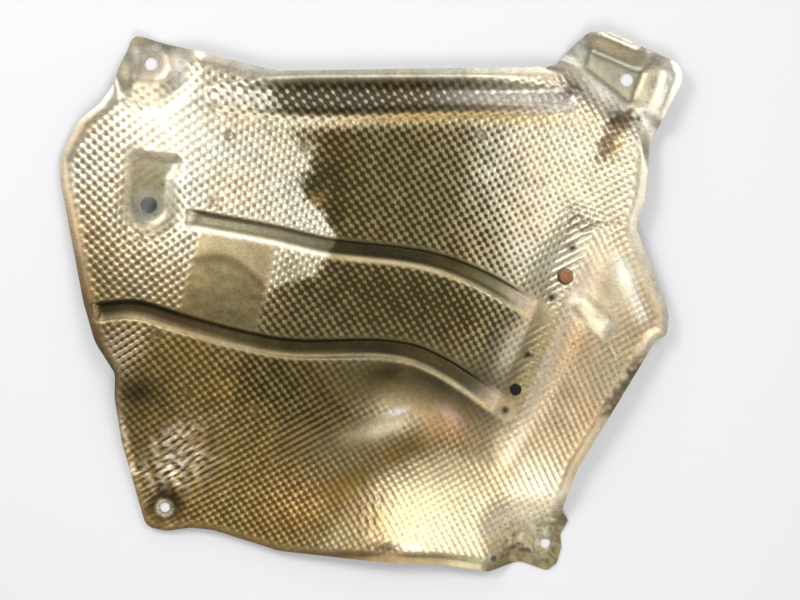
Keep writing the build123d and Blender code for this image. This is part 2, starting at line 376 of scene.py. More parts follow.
# Strip: a flat-floored groove that crosses the right flank and takes the rivet and a fixing hole.
# Its floor keeps a flattened pattern, drawn into short ripples at its upper end.
strip_width, strip_roll, strip_draft, strip_corner = 15.5, 8.0, 45.0, 4.0
strip_middle = 0.5 * (strip_top + strip_foot)
strip_length = np.linalg.norm(strip_foot - strip_top)
strip_along = (strip_foot - strip_top) / strip_length
strip_normal = np.array([0, 0, 1]) - strip_along * strip_along[2]
strip_normal /= np.linalg.norm(strip_normal)
strip_aside = np.cross(strip_normal, strip_along)
tilt = np.radians(strip_roll)
strip_normal, strip_aside = (
    strip_normal * np.cos(tilt) + strip_aside * np.sin(tilt),
    strip_aside * np.cos(tilt) - strip_normal * np.sin(tilt),
)
from_middle_x, from_middle_y = x - strip_middle[0], y - strip_middle[1]
strip_floor = -(strip_normal[0] * from_middle_x + strip_normal[1] * from_middle_y) / strip_normal[2]
on_strip = np.stack([from_middle_x, from_middle_y, strip_floor], axis=1)
strip_s, strip_t = on_strip @ strip_along, on_strip @ strip_aside
strip_gap = rounded_box(strip_s, strip_t, strip_length, strip_width, strip_corner)
strip_front = strip_floor + strip_middle[2] + gauge / strip_normal[2]
height = soft_lower(height, pocket(strip_gap, strip_front, strip_draft + 12, 3.0), 8.0)
in_strip = blend(-strip_gap, 1.0)
crest = bell(strip_t - strip_width / 2 - 5.0, 5.0) * blend(strip_length / 2 - np.abs(strip_s), 6)
ripple_window = in_strip * blend(-30 - strip_s, 9)
embossed *= (1 - 0.35 * in_strip * (1 - ripple_window)) * (1 - 0.6 * crest)

# Seats: flat pads at the corners and at the keyhole on the left, pierced for the fixing screws. The four
# corner seats are what the sheet lies on; their floors are ironed smooth.
seat_draft = 32.0


def gap_outside(corners):
    """Distance outside a polygon with round corners, negative within it."""
    return -gap_inside(x, y, rounded_outline(np.array(corners)))


def reach_from(place):
    """Distance of the sheet's places from a point."""
    return np.hypot(x - place[0], y - place[1])


left_seat = [(-151.0, 162.5, 4), (-127.0, 162.5, 8), (-127.0, 139.5, 11), (-151.0, 139.5, 4)]
left_gap = gap_outside(left_seat)
left_draft = seat_draft + 24 * blend(x - y + 290, 4)
height = soft_lower(height, pocket(left_gap, gauge, left_draft, 1.6), 5.0)

tray_draft = 34.0
tray_corners = [(137.7, 161.8, 4), (173.1, 146.6, 4), (166.0, 123.0, 4), (134.5, 148.2, 4)]
tray_gap = gap_outside(tray_corners)
below_tray = -0.62 * (x - 150.5) - 0.78 * (y - 136)
tray_wall_draft = tray_draft + 16 * blend(x - 170, 2) + 24 * blend(below_tray, 1.5)
tray_wall_draft += 20 * blend(135 - x, 1.5) * blend(y - 149, 1.5)
height = soft_lower(height, pocket(tray_gap, gauge, tray_wall_draft, 1.5), 4.0)

corner_seat = [(88.0, -143.0, 4), (130.0, -139.0, 4), (130.0, -176.0, 4), (88.0, -176.0, 4)]
corner_gap = gap_outside(corner_seat)
height = soft_lower(height, pocket(corner_gap, gauge, strip_draft + 14, 1.2), 4.0)

dimple_floor, dimple_draft = 5.5, 52.0
dimple_gap = reach_from(dimple_hole) - dimple_floor
height = soft_lower(height, pocket(dimple_gap, gauge, dimple_draft, 0.6), 2.0)

key_level, key_radius = 11.375, 11.5
key_block = [(-148.9, 93.4, 3), (-117.8, 89.4, 3), (-125.9, 76.9, 3), (-127.1, 60.7, 1), (-149.8, 60.7, 1)]
key_gap = gap_outside(key_block)
key_gap = np.minimum(key_gap, reach_from(key_hole) - key_radius)
key_draft = seat_draft + np.maximum(40 * blend(-143 - x, 2.5), 26 * blend(84 - y, 3))
height = soft_lower(height, pocket(key_gap, key_level + gauge, key_draft, 1.2), 3.5)

for seat_gap, left_over in (
    (left_gap, 0), (tray_gap, 0), (corner_gap, 0), (dimple_gap, 0.25), (key_gap - 2.5, 0.12),
):
    embossed *= 1 - (1 - left_over) * blend(2.0 - seat_gap, 1.2)
embossed *= 1 - blend(0.53 * (x - 131) + 0.85 * (y - 143), 1.0) * blend(x - 122, 2)
key_ring = blend(key_radius - reach_from(key_hole), 0.6)
washed = spot((-128, 114), (38, 22), -40)
seat_wall = spot((-121, 148), (6, 15), 12)
embossed *= (1 - key_ring) * (1 - 0.6 * washed) * (1 - 0.9 * seat_wall)
seat_floor = np.maximum.reduce([blend(-gap, 0.8) for gap in (left_gap, tray_gap, key_gap)])

# Wing: the smooth ear right of the strip, with an oblong swelling pressed out of it, a bend beside its
# outer edge and creases where the sheet has crumpled.
swell_ends = np.array([(131.5, 0.0), (146.0, -13.5)])
bend_ends = np.array([(154.0, 27.0), (171.0, -9.0)])
crease_ends = np.array([(134.0, 45.0), (160.0, 50.0)])
swell_side = np.array([(126.0, -5.0), (141.0, -20.5), (152.5, -34.0)])
upper_fold = np.array([
    (124.0, 50.0), (130.3, 54.0), (133.2, 49.7), (137.0, 51.1), (138.6, 48.0), (144.6, 50.2),
])
lower_fold = np.array([(123.5, 44.8), (129.3, 48.7), (131.2, 45.9), (134.1, 44.9), (138.0, 46.2)])
swell_radius, swell_height = 7.0, 1.7


def gap_to(line):
    """Distance of the sheet's places from an open line."""
    return np.abs(nearest(x, y, line, closed=False)[3])


swell_gap = gap_to(swell_ends)
swell = np.clip(1 - (swell_gap / (1.25 * swell_radius)) ** 2, 0, 1) ** 2
height += 1.2 * swell_height * swell
wing_bend = gap_to(bend_ends)
height += 0.5 * bell(wing_bend, 6.0)
swell_crease = gap_to(swell_side)
height -= 0.35 * bell(swell_crease, 1.8)
height -= 0.5 * bell(gap_to(crease_ends), 1.0)
fold_gap = np.minimum(gap_to(smooth_line(upper_fold)), gap_to(smooth_line(lower_fold)))
folded = bell(fold_gap, 0.9)
height += 0.45 * bell(fold_gap - 2.0, 0.9) - 0.5 * folded
wing_smooth = np.maximum(spot((152, 12), (15, 20), -20), blend(swell_radius + 2 - swell_gap, 1.0))
embossed *= 1 - np.clip(1.35 * wing_smooth, 0, 1)

# Pad: a rectangle that was left flat between the two beads, slightly proud of the pattern round it.
pad_corners = [(-104.5, 46.0, 3), (-57.5, 36.0, 3), (-70.0, -18.0, 3), (-118.5, -8.0, 3)]
pad_gap = gap_outside(pad_corners)
pad = blend(-pad_gap, 0.7) * (1 - bead_bottom) * (1 - lit_bead_lip)
embossed *= 1 - pad

# Drawn dome: stretched smooth on its crown. Below and left of it the pits are pulled out into lines, and the
# rows spread in a fan below a fold; the two keeps say how much of each row's wave is left.
crown = np.maximum(spot((32, -56), (44, 20), -12), spot((4, -77), (27, 10), 22))
embossed *= 1 - np.clip(1.3 * crown, 0, 1)
pulled_left = spot((-40, -82), (40, 20), 30)
bottom_left = spot((-114, -102), (48, 32), 25)
left_lip = spot((-152, -29), (12, 18), -25)
one_way = np.maximum.reduce([0.85 * pulled_left, bottom_left, 0.7 * left_lip, 0.6 * in_strip, ripple_window])
keep_b = 1 - 0.92 * np.clip(1.2 * one_way, 0, 1)
fan_edge = smooth_line(np.array([
    (60.0, -84.0), (46.0, -88.5), (19.0, -103.0), (0.0, -115.5), (-18.0, -134.0), (-28.0, -152.0),
]))
below_fold = -nearest(x, y, fan_edge, closed=False)[3]
fan = blend(below_fold - 2.0 + 1.5 * mottle(14, 59), 4.0) * blend(-88 - y, 5) * blend(86 - x, 7)
valley = np.maximum(spot((22, -92), (36, 11), 30), spot((-10, -110), (30, 11), 38))
valley *= blend(1.0 - below_fold, 2.0)
foot_lines = spot((101, -116), (22, 29))
keep_a = 0.82 - 0.3 * np.clip(np.maximum(fan, 1.2 * foot_lines), 0, 1)
lower_wing = blend(strip_t - 11, 2.5) * blend(32 - y, 6) * blend(y + 0.5 * (x - 100) + 118, 8)
embossed *= (1 - 0.5 * fan) * (1 - 0.4 * lower_wing) * (1 - 0.55 * valley) * (1 - 0.4 * foot_lines)

# Small round dents where a punch has set the layers, and dark punch marks along the strip.
dents = [(-88.0, 104.5), (-41.0, 97.0), (-97.0, 62.5), (69.5, 104.5), (-145.0, 41.0), (-132.0, -20.5),
         (-113.0, -55.0), (-72.0, -66.5), (20.0, -46.0)]
dent_ring = np.zeros(x.size)
dent_core = np.zeros(x.size)
for dent in dents:
    reach = reach_from(dent)
    embossed *= 1 - blend(3.0 - reach, 0.5)
    dent_ring = np.maximum(dent_ring, bell(reach - 2.8, 0.9))
    dent_core = np.maximum(dent_core, bell(reach, 1.3))
height += 0.12 * dent_ring - 0.45 * dent_core
punch_marks = [(126.3, 34.3), (113.3, 3.0), (98.3, -33.0), (84.0, -67.0)]
punched = np.zeros(x.size)
for mark in punch_marks:
    punched = np.maximum(punched, blend(2.2 - reach_from(mark), 0.6))
height -= 0.7 * punched

# Damage: the lower right corner is torn and eaten, the lower left is buckled, and the bottom edge is dented.
corner_eaten = blend(4.0 - corner_gap, 2.0)
height += corner_eaten * (0.45 * mottle(7.0, 11) + 0.25 * mottle(3.2, 12)) * blend(edge_gap - 1.0, 0.8)
buckled = spot((-116, -98), (22, 15), 35)
height += buckled * (0.7 * mottle(8.0, 21, 2.2, 32) + 0.35 * mottle(3.6, 22, 2.5, 32))
wrinkled = spot((2, -128), (13, 19), 8)
height += 0.18 * wrinkled * mottle(4.2, 24, 4.5, 80)
edge_dent = spot((11, -155), (9, 4), -5)
height += 1.1 * edge_dent

# Heat, soot and dirt: a crisp tide-mark parts the clean upper left from the sooted middle, and the lower left
# is baked brown. A darker pit colour, dirt together with painted shade, fills the pattern up to a level: only
# the pits where the sheet is clean, and all but the tops in the soot.
soot = (0.038, 0.027, 0.002)
baked = (0.35, 0.232, 0.07)
tan = (0.4, 0.29, 0.15)
gold = (0.42, 0.268, 0.062)
cream = (0.62, 0.51, 0.28)
rust = (0.09, 0.055, 0.022)
tide_mark = smooth_line(np.array([
    (-64.0, 150.0), (-59.8, 134.2), (-52.4, 115.7), (-35.0, 90.0), (-43.0, 72.5), (-34.8, 61.4),
    (-23.4, 46.0), (-24.5, 34.5), (-27.0, 26.0), (-31.0, 18.6), (-40.0, 14.0), (-51.7, 11.5),
    (-63.0, 5.0), (-72.0, -8.0), (-78.0, -34.0),
]))
past_tide = -nearest(x, y, tide_mark, closed=False)[3]
tide_width = 0.9 + 6.0 * blend(y - 104, 5) + 8.0 * blend(-y, 4)
sooted = blend(past_tide + 1.5 * mottle(14, 31) + 0.9 * mottle(5, 30), tide_width)
soot_end = 76 - 0.1 * y + 9 * blend(12 - y, 8) + 0.4 * np.minimum(y + 11, 0)
sooted *= 1 - 0.92 * blend(x - soot_end + 5 * mottle(30, 32), 11)
sooted *= blend(y + 82 + 0.35 * x, 8) * (1 - 0.6 * crown) * (1 - 0.9 * lit_gold_bend)
deep_soot = np.maximum(spot((25, 2), (75, 20), -10), spot((-22, 70), (14, 40)))
brown_flank = blend(-20 - y - 0.22 * (x + 80) + 3 * mottle(20, 33), 5) * blend(20 - x, 22)
brown_flank *= blend(x + 158, 5) * (1 - fan)
dull_left = blend(45 - y - 0.5 * (x + 160), 16) * blend(-55 - x, 14)
lay(tint, (0.42, 0.35, 0.22), 0.6 * blend(-150 - x, 8))
lay(tint, (0.22, 0.142, 0.038), 0.88 * dull_left)
lay(tint, tan, 0.35 * blend(x - 70, 30) * blend(20 - y, 25))
lay(tint, baked, 0.9 * brown_flank)
lay(tint, (0.155, 0.119, 0.036), 0.94 * sooted)
lay(tint, (0.16, 0.122, 0.034), 0.6 * sooted * deep_soot)
roughness += 0.05 * sooted + 0.06 * brown_flank

# Walls painted bright as highlights, and patches whose pits fill less or further than the sheet round them.
dome_foot = spot((54, -80), (24, 15), -20)
corner_wall_highlight = spot((97, -134), (27, 9), 22)
beside_strip = spot((89, -26), (6.5, 26), -28)
lit_tray_wall = np.maximum(spot((143, 135), (27, 8), -39), spot((174, 112), (7, 12), -15))
lit_tray_wall *= blend(tray_gap, 1.0)
below_bead = spot((-46, 19), (21, 12), -10) * (1 - sooted)
pit_fill_level = -0.34 + 0.46 * sooted + 0.3 * brown_flank * (1 - sooted) + 0.22 * dull_left
pit_fill_level += 0.12 * mottle(11, 53) + 0.16 * mottle(4.5, 65) + 0.42 * sooted * deep_soot
pit_fill_level -= 0.15 * fan + 0.36 * blend(x - 104, 9)
pit_fill_level -= 0.35 * np.maximum(left_lip, dome_foot) + 0.2 * bottom_left
pit_fill_level -= 0.5 * np.maximum(foot_lines, corner_wall_highlight) + 0.2 * washed + 0.5 * seat_wall
pit_fill_level -= 0.15 * lit_gold_bend + 0.1 * ripple_window + 0.25 * beside_strip
pit_fill_level += 0.22 * below_bead - 0.4 * lit_tray_wall
pit_fill_level += (0.25 - pit_fill_level) * lower_wing
roughness += 0.3 * lit_tray_wall + 0.35 * corner_wall_highlight
# The pits take a share of the tops' colour: dirt, and painted shade where the sheet is clean.
grime_and_shade_share = 0.36 - 0.24 * spot((72, 58), (22, 50)) + 0.14 * blend(x - 95, 10)
grime_and_shade = grime_and_shade_share[:, None] * tint
lay(grime_and_shade, soot, sooted + 0.35 * brown_flank)
lay(grime_and_shade, 0.72 * tint, lower_wing)

# The channel is pale left of the tide-mark and speckled with soot right of it, with a painted grey sheen at
# its right end, and gold with a painted highlight on its lower bend.
channel_inside = blend(2.0 - channel_gap, 1.2)
speckled = channel_inside * blend(past_tide, 2.0) * blend(72 - x, 10)
lay(tint, (0.86, 0.79, 0.6), 0.55 * channel_inside * blend(-past_tide, 2.0))
lay(tint, (0.46, 0.4, 0.3), 0.85 * speckled)
pit_fill_level += (0.58 + 0.2 * mottle(5, 54) - pit_fill_level) * speckled
lay(grime_and_shade, (0.072, 0.057, 0.026), speckled)
lay(tint, (0.5, 0.46, 0.4), 0.65 * channel_right_sheen)
lay(tint, gold, 0.88 * lit_gold_bend * blend(110 - np.abs(x - 34), 20))
lay(tint, (0.8, 0.71, 0.47), 0.85 * lit_gold_bend * spot((-50, 114), (34, 12)))

# Below the dome a valley painted dark brown as shade ends at the fan of rows, which is brown on its left, and
# creamy on its right, where it is cleaner and carries a painted sheen.
brown_bottom = spot((-40, -130), (26, 19)) * (1 - fan)
fan_clean_and_sheen = fan * blend(x - 8 - 0.1 * (y + 113) + 2.5 * mottle(12, 64), 3.0)
lay(tint, (0.17, 0.102, 0.017), 0.96 * valley)
lay(tint, (0.22, 0.12, 0.026), 0.92 * brown_bottom)
lay(tint, (0.25, 0.152, 0.04), 0.85 * np.maximum(fan, spot((-10, -135), (22, 24))))
lay(tint, cream, 0.9 * fan_clean_and_sheen)
lay(tint, (0.82, 0.7, 0.45), 0.85 * foot_lines)
lay(tint, (0.95, 0.77, 0.49), 0.8 * beside_strip)
lay(grime_and_shade, 0.6 * tint, np.maximum.reduce([fan, foot_lines, beside_strip]))

# The dome's upper side is painted near black as shade, its lower crest carries a painted highlight and its
# crown a painted sheen and glint, and its right foot is warm and rosy.
dome_shade = np.maximum(spot((40, -44.5), (50, 17), -22), spot((12, -42), (26, 12), 5))
dome_crest_highlight = spot((8, -77), (20, 5.5), 15)
crown_sheen = spot((9, -65), (17, 7.5), 8)
crown_glint = spot((17, -66.5), (6, 2.2), 14)
warm_foot = spot((56, -80), (24, 13), -20)
rosy_foot = spot((51, -71), (10, 3.5), -38)
gold_bottom = spot((-36, -132), (11, 10))
lay(tint, (0.145, 0.101, 0.029), 0.85 * crown)
lay(tint, (0.024, 0.018, 0.005), 0.95 * dome_shade)
lay(tint, (0.84, 0.69, 0.41), 0.8 * dome_crest_highlight)
lay(tint, (0.44, 0.36, 0.2), 0.75 * crown_sheen)
lay(tint, (0.8, 0.76, 0.68), 0.6 * crown_glint)
lay(tint, (0.68, 0.43, 0.2), 0.75 * warm_foot)
lay(tint, (0.62, 0.4, 0.33), 0.55 * rosy_foot)
lay(tint, gold, 0.45 * gold_bottom + 0.35 * buckled * blend(mottle(5, 41), 0.3))

# The wing is warm and dull below, with painted highlights on its swelling, along its bend and on the wall of
# the tray, and painted shade beside the swelling and along its crease.
swell_shade = spot((143, 15), (9, 14), -20)
above_wing = spot((150, 80), (30, 40))
tan_bottom = spot((-80, -124), (40, 17), -14)
lay(tint, (0.54, 0.355, 0.165), 0.8 * lower_wing * (1 - wing_smooth) * (1 - foot_lines))
lay(tint, (0.6, 0.51, 0.315), 0.8 * wing_smooth)
lay(tint, (0.95, 0.88, 0.69), 0.85 * bell(wing_bend, 4.5))
lay(tint, (0.5, 0.385, 0.24), 0.8 * swell_shade)
lay(tint, (0.92, 0.82, 0.56), 0.8 * blend(4.2 - swell_gap, 1.2))
lay(tint, (0.3, 0.22, 0.12), 0.45 * bell(swell_crease, 1.4))
lay(tint, (0.68, 0.58, 0.38), 0.7 * above_wing)
lay(tint, (0.95, 0.91, 0.78), 0.85 * lit_tray_wall)
lay(tint, (0.66, 0.55, 0.37), 0.75 * left_lip)
lay(tint, (0.46, 0.27, 0.085), 0.45 * tan_bottom)

# The beads have floors darkened by soot and by painted shade, a painted shade line under the steep wall, a
# painted highlight on the lip opposite, gold or darker where the sheet is sooty, and a bright foot.
on_upper = blend(y - 12 + 0.35 * np.maximum(x, 0), 4)
on_lower = 1 - on_upper
on_clean = blend(y - 20, 5) * (1 - sooted)
floor_soot_and_shade = np.maximum(sooted, 0.7 * blend(x + 50, 14) * blend(10 - y, 4))
floor_soot_and_shade = np.maximum(floor_soot_and_shade, 0.9 * on_upper * blend(x - 10, 15) * blend(90 - x, 8))
deep_floor = np.maximum(spot((12, 28), (42, 12), -8), spot((0, -29), (34, 9), -5))
lay(tint, (0.37, 0.315, 0.165), 0.8 * below_bead)
lay(tint, (0.145, 0.127, 0.062), 0.85 * bead_bottom * (1 - sooted) * (1 - brown_flank))
lay(tint, (0.085, 0.058, 0.024), 0.85 * bead_bottom * on_lower * blend(-60 - x, 12))
lay(tint, (0.028, 0.02, 0.007), 0.8 * bead_bottom * on_lower * blend(-112 - x, 16))
lay(tint, (0.036, 0.028, 0.008), 0.95 * bead_bottom * floor_soot_and_shade)
lay(tint, (0.024, 0.018, 0.001), 0.8 * bead_bottom * deep_floor)
lay(tint, (0.95, 0.76, 0.52), 0.85 * bead_foot)
lay(tint, (0.045, 0.037, 0.018), 0.75 * bead_wall_shade * (1 - bead_foot) * (1 - 0.45 * on_clean))
lay(tint, (0.9, 0.73, 0.4), 0.85 * lit_bead_lip)
lay(tint, (0.86, 0.8, 0.64), 0.9 * lit_bead_lip * on_clean)
lay(tint, (0.3, 0.23, 0.1), 0.8 * lit_bead_lip * on_upper * sooted * blend(25 - x, 15))
lay(tint, (0.04, 0.031, 0.01), 0.95 * lit_bead_lip * on_lower * blend(28 - x, 12))
lay(tint, (0.44, 0.33, 0.155), 0.8 * lit_bead_lip * on_lower * blend(-55 - x, 12))
roughness += 0.3 * bead_foot + 0.2 * lit_bead_lip * on_lower * blend(x - 40, 10)

# The strip is brown along its floor, with a grey crest beside it and bright ripples at its upper end.
strip_brown = blend(0.4 - strip_gap, 0.5) * (1 - 0.6 * blend(-44 - strip_s, 6))
strip_brown *= 1 - 0.75 * blend(strip_s - 50, 7)
lay(tint, (0.56, 0.47, 0.35), 0.6 * crest)
lay(tint, (0.26, 0.205, 0.08), 0.85 * strip_brown)
lay(tint, (0.9, 0.8, 0.58), 0.65 * ripple_window)

# The seats are dull and grey on their floors, with painted highlights on the walls and rims that face the
# light, painted shade on the tray's upper wall, and a line of painted shade along the inner edge of the left
# seat.
tray_sill_shade = spot((158, 157), (20, 4), -23)
tray_shoulder = spot((131, 158.5), (4.5, 13), -40)
seat_corner_shade = bell(left_gap + 1.5, 2.0) * blend(y - x - 293, 2)
lay(tint, (0.23, 0.205, 0.1), 0.9 * seat_floor)
lay(tint, (0.205, 0.19, 0.128), 0.9 * blend(-tray_gap, 0.8))
lay(tint, (0.33, 0.305, 0.215), 0.8 * key_ring)
lay(tint, (0.44, 0.44, 0.31), 0.75 * tray_sill_shade)
lay(tint, (0.9, 0.84, 0.66), 0.75 * tray_shoulder)
lay(tint, (0.86, 0.79, 0.57), 0.65 * washed)
lay(tint, (0.95, 0.91, 0.78), 0.85 * seat_wall * blend(left_gap - 1.5, 0.8))
lay(tint, (0.36, 0.305, 0.23), 0.9 * blend(-left_gap, 0.8) * (0.8 + 0.3 * mottle(7, 40)))
lay(tint, (0.11, 0.092, 0.062), 0.85 * seat_corner_shade)
roughness += 0.3 * seat_corner_shade

# The pad is brown, and darker below a faint arch.
below_arch = 31.0 - 0.0185 * (x + 97) ** 2 - y
lay(tint, (0.28, 0.212, 0.098), 0.92 * pad)
lay(tint, (0.125, 0.096, 0.038), 0.85 * pad * (0.85 + 0.12 * mottle(8, 42)) * blend(below_arch, 1.3))
lay(tint, (0.075, 0.056, 0.022), 0.55 * pad * bell(below_arch - 3.0, 3.0))

# The flange is grey, browner on the left, and no more than a thin brown edge along the lower left.
tray_rim = blend(6.5 - edge_gap, 1.5) * blend(x - 126, 3) * blend(y - 104, 4)
tray_edge = spot((186, 130), (9, 20), -20)
left_rim = blend(6.0 - edge_gap, 1.5) * blend(-122 - x, 3) * blend(y - 122, 4)
thin_edge = blend(flange_reach + 1.0 - edge_gap, 0.6) * blend(-40 - y - 0.45 * x, 16)
lay(tint, flange_metal, 0.75 * flange * blend(y + 0.45 * x + 40, 20))
lay(tint, (0.38, 0.275, 0.15), 0.8 * flange * blend(-150 - x, 10) * blend(120 - y, 10))
lay(tint, (0.8, 0.74, 0.6), 0.25 * tray_rim)
lay(tint, (0.36, 0.335, 0.265), 0.75 * tray_edge)
lay(tint, (0.6, 0.53, 0.4), 0.6 * left_rim)
lay(tint, (0.14, 0.09, 0.038), 0.9 * thin_edge)

# The torn corner and the eaten lip above it are rusted and rough, and the wall between them is painted bright
# as a highlight.
eaten_lip = blend(6.5 - edge_gap + 1.5 * mottle(7, 46), 0.8) * blend(-32 - y, 2.5) * blend(y + 71, 1.0)
eaten_lip *= x > 120
olive_edge = spot((68, -163), (18, 5.5), 6)
corner_pits = np.maximum(spot((89.5, -155), (5, 2.2), 25), spot((97, -156.5), (5, 1.8), -5))
lay(tint, rust, 0.9 * eaten_lip * blend(1.0 + mottle(5, 49), 0.3))
lay(tint, (0.96, 0.85, 0.6), 0.9 * corner_wall_highlight)
lay(tint, (0.33, 0.29, 0.14), 0.8 * blend(2.0 - corner_gap, 1.5) * blend(0.4 + mottle(6, 47), 0.4))
lay(tint, (0.46, 0.42, 0.24), 0.7 * olive_edge)
lay(tint, (0.11, 0.08, 0.04), 0.6 * corner_eaten * blend(mottle(4.5, 48) - 1.0, 0.2))
lay(tint, (0.045, 0.04, 0.016), 0.85 * corner_pits)
roughness += 0.25 * np.maximum(corner_eaten, eaten_lip) + 0.14 * np.maximum(crown, wing_smooth)

# Relief of the pattern: the weighted mean of the cosines of its two rows, with its tops pressed flatter.
emboss_depth, flat_top = 0.42, 0.8
keep_a -= 0.18 * sooted * (1 - pulled_left)
share_a = keep_a / (keep_a + keep_b)
crate = share_a * np.cos(2 * np.pi * pit_u) + (1 - share_a) * np.cos(2 * np.pi * pit_v)
relief = emboss_depth * embossed * (np.minimum(crate, 0) + flat_top * np.maximum(crate, 0) - 0.1)
relief *= 1 + 0.5 * ripple_window

# Marks that lie over the pattern: the burnt corner by the tray, painted glints on the buckled flank, the dark
# rings of the dimple, the dents and the punch marks, painted shade in a hollow of the left flank and in the
# folds, and the painted shade and highlight of the dent in the bottom edge.
burnt = np.maximum(spot((149, 100), (7, 18), -20), spot((157, 114.5), (13, 6.5), 22))
gold_streak = spot((155, 99), (3, 11), -22) * blend(0.3 + mottle(4, 44), 0.3)
channel_smut = spot((124, 133), (11, 7)) * blend(0.5 + mottle(4, 45), 0.3)
channel_end = spot((127, 134), (4.5, 4))
buckle_glints = np.maximum.reduce([
    spot((-121, -84), (15, 7), 30), spot((-122, -101), (19, 14), 35),
    0.6 * spot((-154, -82), (2.5, 14), 8), spot((-147, -105), (8, 3.5), -25),
])
dent_shade = spot((11, -154.5), (11, 4), -4)
dent_lip_highlight = spot((25, -153.5), (7, 1.6), -4)
left_hollow_shade = spot((-143, -55), (13, 11))
gold_tops = spot((-46, -124), (19, 13), -10) * blend(crate - 0.25 - 0.3 * mottle(9, 63), 0.1)
tide_smut = spot((-34, 77), (12, 5.5), 10) * blend(0.5 + mottle(5, 58), 0.2)
tide_rust = spot((-33, 64), (5, 4)) * blend(mottle(3, 60), 0.2)
stains_and_painted_light = np.stack([grime_and_shade, tint])
lay(stains_and_painted_light, (0.115, 0.064, 0.022), 0.85 * blend(burnt - 0.52 + 0.22 * mottle(6, 43) - 0.1 * crate, 0.08))
lay(stains_and_painted_light, gold, 0.7 * gold_streak)
lay(stains_and_painted_light, (0.1, 0.08, 0.05), 0.75 * channel_smut)
lay(stains_and_painted_light, (0.1, 0.08, 0.05), 0.8 * channel_end)
lay(stains_and_painted_light, (0.86, 0.76, 0.55), 0.9 * buckle_glints * blend(mottle(3.2, 55, 2.2, 32) - 0.1, 0.12))
lay(stains_and_painted_light, (0.12, 0.075, 0.034), 0.88 * dent_shade)
lay(stains_and_painted_light, (0.8, 0.72, 0.55), 0.8 * dent_lip_highlight)
lay(stains_and_painted_light, (0.04, 0.03, 0.012), 0.85 * left_hollow_shade)
lay(stains_and_painted_light, (0.085, 0.055, 0.022), 0.85 * blend(11.5 - reach_from(dimple_hole) + mottle(9, 56), 1.2))
lay(stains_and_painted_light, (0.52, 0.46, 0.32), 0.7 * bell(dimple_gap + 1.0, 1.2))
lay(stains_and_painted_light, (0.012, 0.009, 0.004), 0.97 * punched)
lay(stains_and_painted_light, (0.16, 0.115, 0.058), 0.75 * folded)
lay(stains_and_painted_light, (0.08, 0.055, 0.024), 0.95 * np.clip(dent_core + 0.8 * dent_ring, 0, 1))
lay(stains_and_painted_light, (0.78, 0.48, 0.17), 0.75 * gold_tops)
lay(stains_and_painted_light, (0.03, 0.024, 0.01), 0.75 * tide_smut)
lay(stains_and_painted_light, (0.42, 0.24, 0.08), 0.65 * tide_rust)
stains_and_painted_light *= 1 + mottle(45, 57)[:, None] * np.array([0.03, -0.01, -0.04])
stains_and_painted_light = np.clip(stains_and_painted_light * (1 + 0.07 * mottle(16, 51) + 0.05 * mottle(5, 52))[:, None], 0.01, 0.95)

# Front skin: the crowned face, with the cut edge that joins it to the back. Bare aluminium under the stains
# and painted light, so the shader is a metal whose colour and roughness come from those layers above.


def skin_normals(points, faces):
    """Direction square to a sheet at each point: the mean of the crossed diagonals of the faces round it."""
    across = np.cross(points[faces[:, 2]] - points[faces[:, 0]], points[faces[:, 3]] - points[faces[:, 1]])
    total = np.stack([
        np.bincount(faces.ravel(), np.repeat(across[:, axis], 4), len(points)) for axis in range(3)
    ], axis=1)
    return total / np.linalg.norm(total, axis=1, keepdims=True)


def sheet_piece(name, points, faces, stains_and_painted_light, rows, shares, material):
    """A smooth-shaded mesh from whole arrays: points in millimetres, quads and what the material reads."""
    mesh = bpy.data.meshes.new(name)
    mesh.vertices.add(len(points))
    mesh.vertices.foreach_set("co", (points / 1000).astype(np.float32).ravel())
    mesh.loops.add(faces.size)
    mesh.loops.foreach_set("vertex_index", faces.astype(np.int32).ravel())
    mesh.polygons.add(len(faces))
    mesh.polygons.foreach_set("loop_start", np.arange(0, faces.size, faces.shape[1], dtype=np.int32))
    mesh.update(calc_edges=True)
    mesh.polygons.foreach_set("use_smooth", np.ones(len(faces), bool))
    for layer, values in zip(("grime_and_shade", "tint"), stains_and_painted_light):
        opaque = np.column_stack([values, np.ones(len(points))]).astype(np.float32)
        mesh.attributes.new(layer, "FLOAT_COLOR", "POINT").data.foreach_set("color", opaque.ravel())
    for layer, values in (("rows", rows), ("shares", shares)):
        values = np.stack(values, axis=1).astype(np.float32)
        mesh.attributes.new(layer, "FLOAT_VECTOR", "POINT").data.foreach_set("vector", values.ravel())
    mesh.materials.append(material)
    piece = bpy.data.objects.new(name, mesh)
    bpy.context.collection.objects.link(piece)
    return piece


def add_node(metal, kind, inputs, **settings):
    """Outputs of a new node. Its inputs are numbers or other nodes' outputs, and its settings go by name."""
    node = metal.node_tree.nodes.new(kind)
    for name, value in settings.items():
        setattr(node, name, value)
    for socket, value in inputs.items():
        if isinstance(value, bpy.types.NodeSocket):
            metal.node_tree.links.new(value, node.inputs[socket])
        else:
            node.inputs[socket].default_value = value
    return node.outputs


def carried(metal, layer):
    """What the mesh carries under this name."""
    return add_node(metal, "ShaderNodeAttribute", {}, attribute_name=layer)


def worked(metal, operation, *values):
    """The result of an operation on numbers or on what other nodes give."""
    return add_node(metal, "ShaderNodeMath", dict(enumerate(values)), operation=operation)["Value"]


def ranged(metal, value, low, high, new_low=0.0, new_high=1.0, curve="LINEAR"):
    """A value carried over from one range to another."""
    ends = {"Value": value, "From Min": low, "From Max": high, "To Min": new_low, "To Max": new_high}
    return add_node(metal, "ShaderNodeMapRange", ends, interpolation_type=curve)["Result"]


